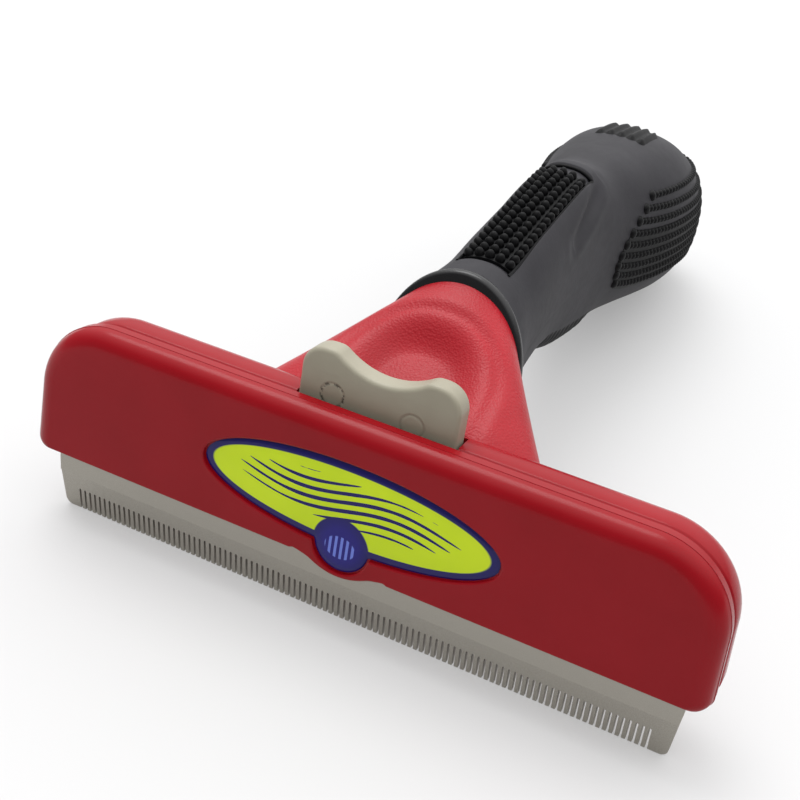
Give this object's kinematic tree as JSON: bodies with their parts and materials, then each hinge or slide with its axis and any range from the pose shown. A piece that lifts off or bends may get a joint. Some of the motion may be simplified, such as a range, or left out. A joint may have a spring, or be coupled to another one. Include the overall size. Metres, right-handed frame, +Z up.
{
  "type": "deshedding tool",
  "caption": "Wide grooming rake with a fine comb blade in a red two-shell head, a thumb-pushed sprung fur ejector and a soft contoured grip with a drooping pommel.",
  "frame": {"origin": "middle of the tool's footprint, on the surface it lies on, resting on its tooth tips and its pommel", "axes": "+Z up; +X along the blade, to the right seen from the cover; +Y from the cover towards the end of the grip"},
  "size_m": [0.1352, 0.1748, 0.0556],
  "materials": {
    "red_gloss": "polished moulded plastic",
    "red_textured": "spark-eroded texture with a soft sheen",
    "blade_steel": "ground and brushed stainless steel",
    "plain_steel": "plain zinc-plated",
    "spring_steel": "drawn wire",
    "button_grey": "satin moulded plastic",
    "black_plastic": "fine matt",
    "white_plastic": "natural acetal",
    "grip_rubber": "soft matt rubber",
    "pad_rubber": "semi-gloss black rubber",
    "collar_black": "glossy",
    "badge_navy": "printed under clear resin",
    "badge_lime": "printed under clear resin",
    "badge_pale": "printed under clear resin",
    "badge_clear": "clear domed resin"
  },
  "bodies": {
    "root": {"front_cover": "red_gloss", "blade_holder": "black_plastic", "comb_blade": "blade_steel", "blade_screws": "plain_steel", "rear_housing": "red_textured", "housing_screws": "plain_steel", "guide_rails": "white_plastic", "spring_pins": "plain_steel", "return_spring_left": "spring_steel", "return_spring_right": "spring_steel", "badge_base": "badge_navy", "badge_face": "badge_lime", "badge_emblem": "badge_pale", "badge_dome": "badge_clear", "handle_core": "black_plastic", "tang_pins": "plain_steel", "grip_collar": "collar_black", "grip_shell": "grip_rubber", "thumb_pad": "pad_rubber", "finger_pad": "pad_rubber", "pommel_pad_left": "pad_rubber", "pommel_pad_right": "pad_rubber", "pommel_cap_pad": "pad_rubber"},
    "ejector": {"ejector_plate": "plain_steel", "ejector_carriage": "button_grey", "plate_rivets": "plain_steel", "ejector_button": "button_grey", "button_pin": "plain_steel"}
  },
  "joints": [
    {"name": "ejector_slide", "type": "slide", "parent": "root", "child": "ejector", "axis": [0, -0.1726, -0.985], "range_m": [0, 0.009], "stiffness_N_per_m": 250, "springref_m": -0.008, "deforming": ["return_spring_left", "return_spring_right"]}
  ]
}
